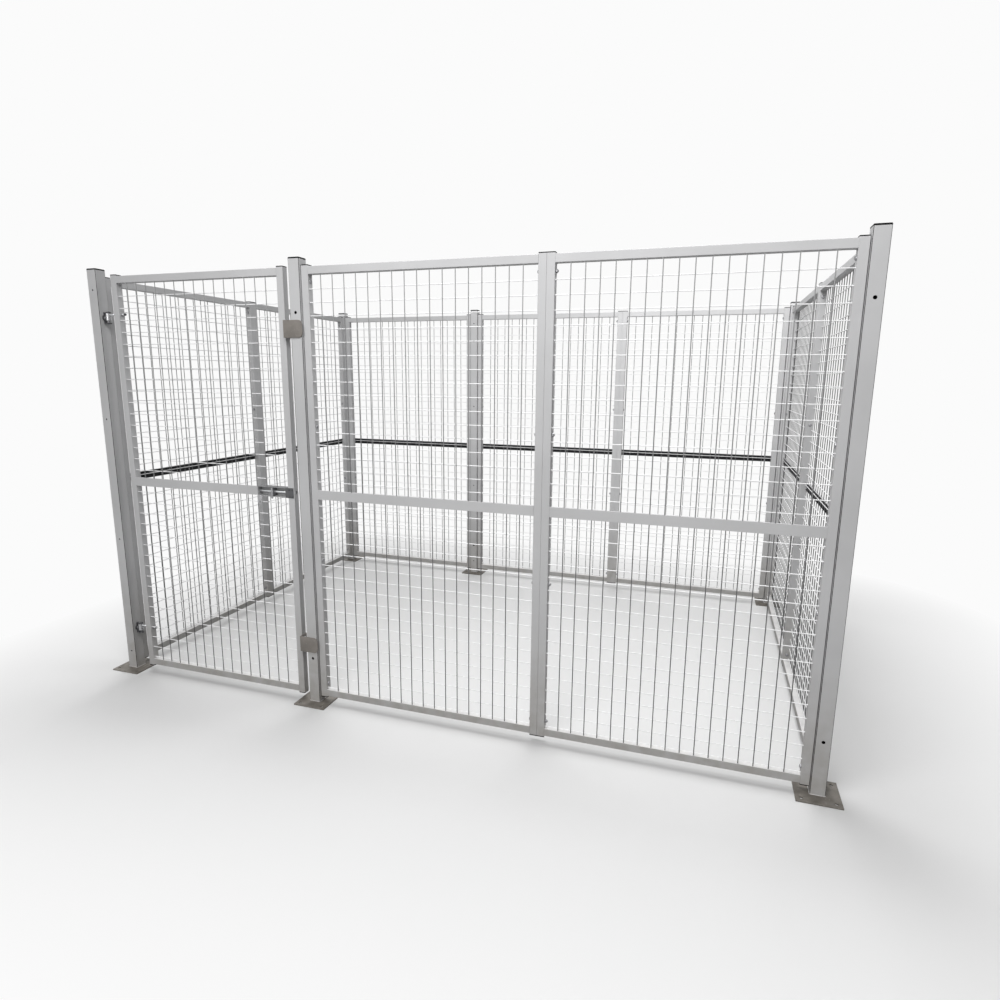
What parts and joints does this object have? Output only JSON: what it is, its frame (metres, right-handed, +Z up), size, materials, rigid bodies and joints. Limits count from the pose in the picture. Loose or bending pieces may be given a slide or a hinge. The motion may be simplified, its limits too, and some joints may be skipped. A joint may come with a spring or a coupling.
{
  "type": "wire mesh partition",
  "caption": "Free-standing wire mesh enclosure of bolted tube-framed panels between square posts on base plates, open on top, with a hinged door, stop plates and a slide bolt.",
  "frame": {"origin": "on the floor at the middle of the plan, which is also the bottom centre of the bounding box", "axes": "+X runs along the front wall from the hinge post to the right corner, +Y from the front wall to the rear wall, +Z up; the door is at the left of the front wall, which faces -Y"},
  "size_m": [3.201, 2.166, 1.869],
  "materials": {
    "frame_paint": "smooth silver-grey powder coat",
    "wire_paint": "silver-grey powder coat on wire",
    "plate_paint": "dull brown-grey coat",
    "black_plastic": "moulded black plastic",
    "dark_metal": "dark grey satin coat",
    "zinc": "zinc plated",
    "bright_steel": "polished"
  },
  "bodies": {
    "enclosure": {"post_hinge": "frame_paint", "post_latch": "frame_paint", "post_front_right": "frame_paint", "post_rear_left": "frame_paint", "post_rear_middle": "frame_paint", "post_rear_right": "frame_paint", "base_plate_hinge": "plate_paint", "base_plate_latch": "plate_paint", "base_plate_front_right": "plate_paint", "base_plate_rear_left": "plate_paint", "base_plate_rear_middle": "plate_paint", "base_plate_rear_right": "plate_paint", "cap_hinge": "black_plastic", "cap_latch": "black_plastic", "cap_front_right": "black_plastic", "cap_rear_left": "black_plastic", "cap_rear_middle": "black_plastic", "cap_rear_right": "black_plastic", "panel_frame_1": "frame_paint", "panel_frame_2": "frame_paint", "panel_frame_3": "frame_paint", "panel_frame_4": "frame_paint", "panel_frame_5": "frame_paint", "panel_frame_6": "frame_paint", "panel_frame_7": "frame_paint", "panel_frame_8": "frame_paint", "panel_frame_9": "frame_paint", "panel_mesh_1": "wire_paint", "panel_mesh_2": "wire_paint", "panel_mesh_3": "wire_paint", "panel_mesh_4": "wire_paint", "panel_mesh_5": "wire_paint", "panel_mesh_6": "wire_paint", "panel_mesh_7": "wire_paint", "panel_mesh_8": "wire_paint", "panel_mesh_9": "wire_paint", "mid_rails_front": "frame_paint", "mid_rails_right": "frame_paint", "mid_rails_rear": "frame_paint", "mid_rails_left": "frame_paint", "stile_plugs": "black_plastic", "panel_bolts": "zinc", "panel_nuts": "zinc", "panel_washers": "zinc", "hinge_brackets": "dark_metal", "hinge_bracket_fasteners": "zinc", "hinge_pins": "bright_steel"},
    "door": {"door_frame": "frame_paint", "door_mesh": "wire_paint", "door_mid_rail": "frame_paint", "door_plugs": "black_plastic", "hinge_eye_bolts": "zinc", "hinge_nuts": "dark_metal", "stop_plates": "plate_paint", "stop_plate_screws": "zinc", "latch_housing": "dark_metal", "latch_rivets": "zinc", "padlock_ear": "zinc"},
    "slide_bolt": {"latch_bolt": "zinc", "latch_handle": "zinc"}
  },
  "joints": [
    {"name": "door_swing", "type": "hinge", "parent": "enclosure", "child": "door", "pos_m": [-1.4785, -1.008, 0.934], "axis": [0, 0, -1], "range_deg": [0, 110]},
    {"name": "slide_bolt_throw", "type": "slide", "parent": "door", "child": "slide_bolt", "axis": [1, 0, 0], "range_m": [0, 0.06]}
  ]
}
